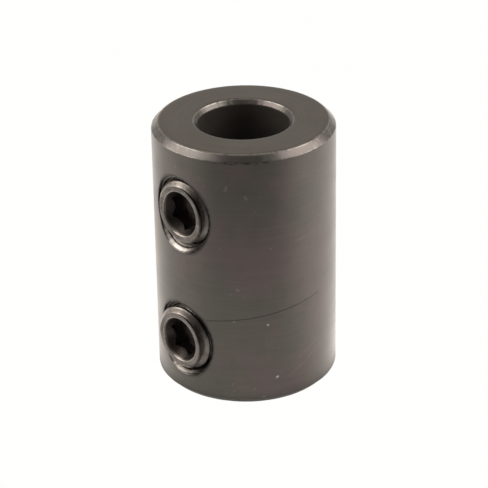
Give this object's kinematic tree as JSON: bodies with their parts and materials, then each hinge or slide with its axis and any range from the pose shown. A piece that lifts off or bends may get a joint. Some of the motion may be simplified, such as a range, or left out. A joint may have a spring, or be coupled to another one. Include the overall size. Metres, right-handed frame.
{
  "type": "rigid shaft coupling",
  "caption": "Rigid one-piece sleeve coupling: joins two equal round shafts end to end, each clamped by a hex-socket cup-point set screw.",
  "frame": {"origin": "on the bore's axis, halfway along the sleeve", "axes": "+Z along the bore towards the upper end; the set screws point towards -Y"},
  "size_m": [0.0126, 0.0129, 0.019],
  "materials": {
    "sleeve_steel": "black oxide, turned, satin",
    "screw_steel": "black oxide, satin"
  },
  "bodies": {
    "sleeve": {"coupling_sleeve": "sleeve_steel"},
    "upper_point": {"upper_cup_point": "screw_steel"},
    "upper_screw": {"upper_set_screw": "screw_steel"},
    "lower_point": {"lower_cup_point": "screw_steel"},
    "lower_screw": {"lower_set_screw": "screw_steel"}
  },
  "joints": [
    {"name": "upper_screw_turn", "type": "hinge", "parent": "upper_point", "child": "upper_screw", "pos_m": [0, -0.005, 0.00445], "axis": [0, 1, 0], "range_deg": [-1080, 45]},
    {"name": "upper_screw_travel", "type": "slide", "parent": "sleeve", "child": "upper_point", "axis": [0, 1, 0], "range_m": [-0.00238, 0.0001]},
    {"name": "lower_screw_turn", "type": "hinge", "parent": "lower_point", "child": "lower_screw", "pos_m": [0, -0.005, -0.00515], "axis": [0, 1, 0], "range_deg": [-900, 225]},
    {"name": "lower_screw_travel", "type": "slide", "parent": "sleeve", "child": "lower_point", "axis": [0, 1, 0], "range_m": [-0.00199, 0.0005]}
  ],
  "couplings": [
    {"joint": "upper_screw_travel", "follows": "upper_screw_turn", "m_per_rad": 0.00012633},
    {"joint": "lower_screw_travel", "follows": "lower_screw_turn", "m_per_rad": 0.00012633}
  ]
}
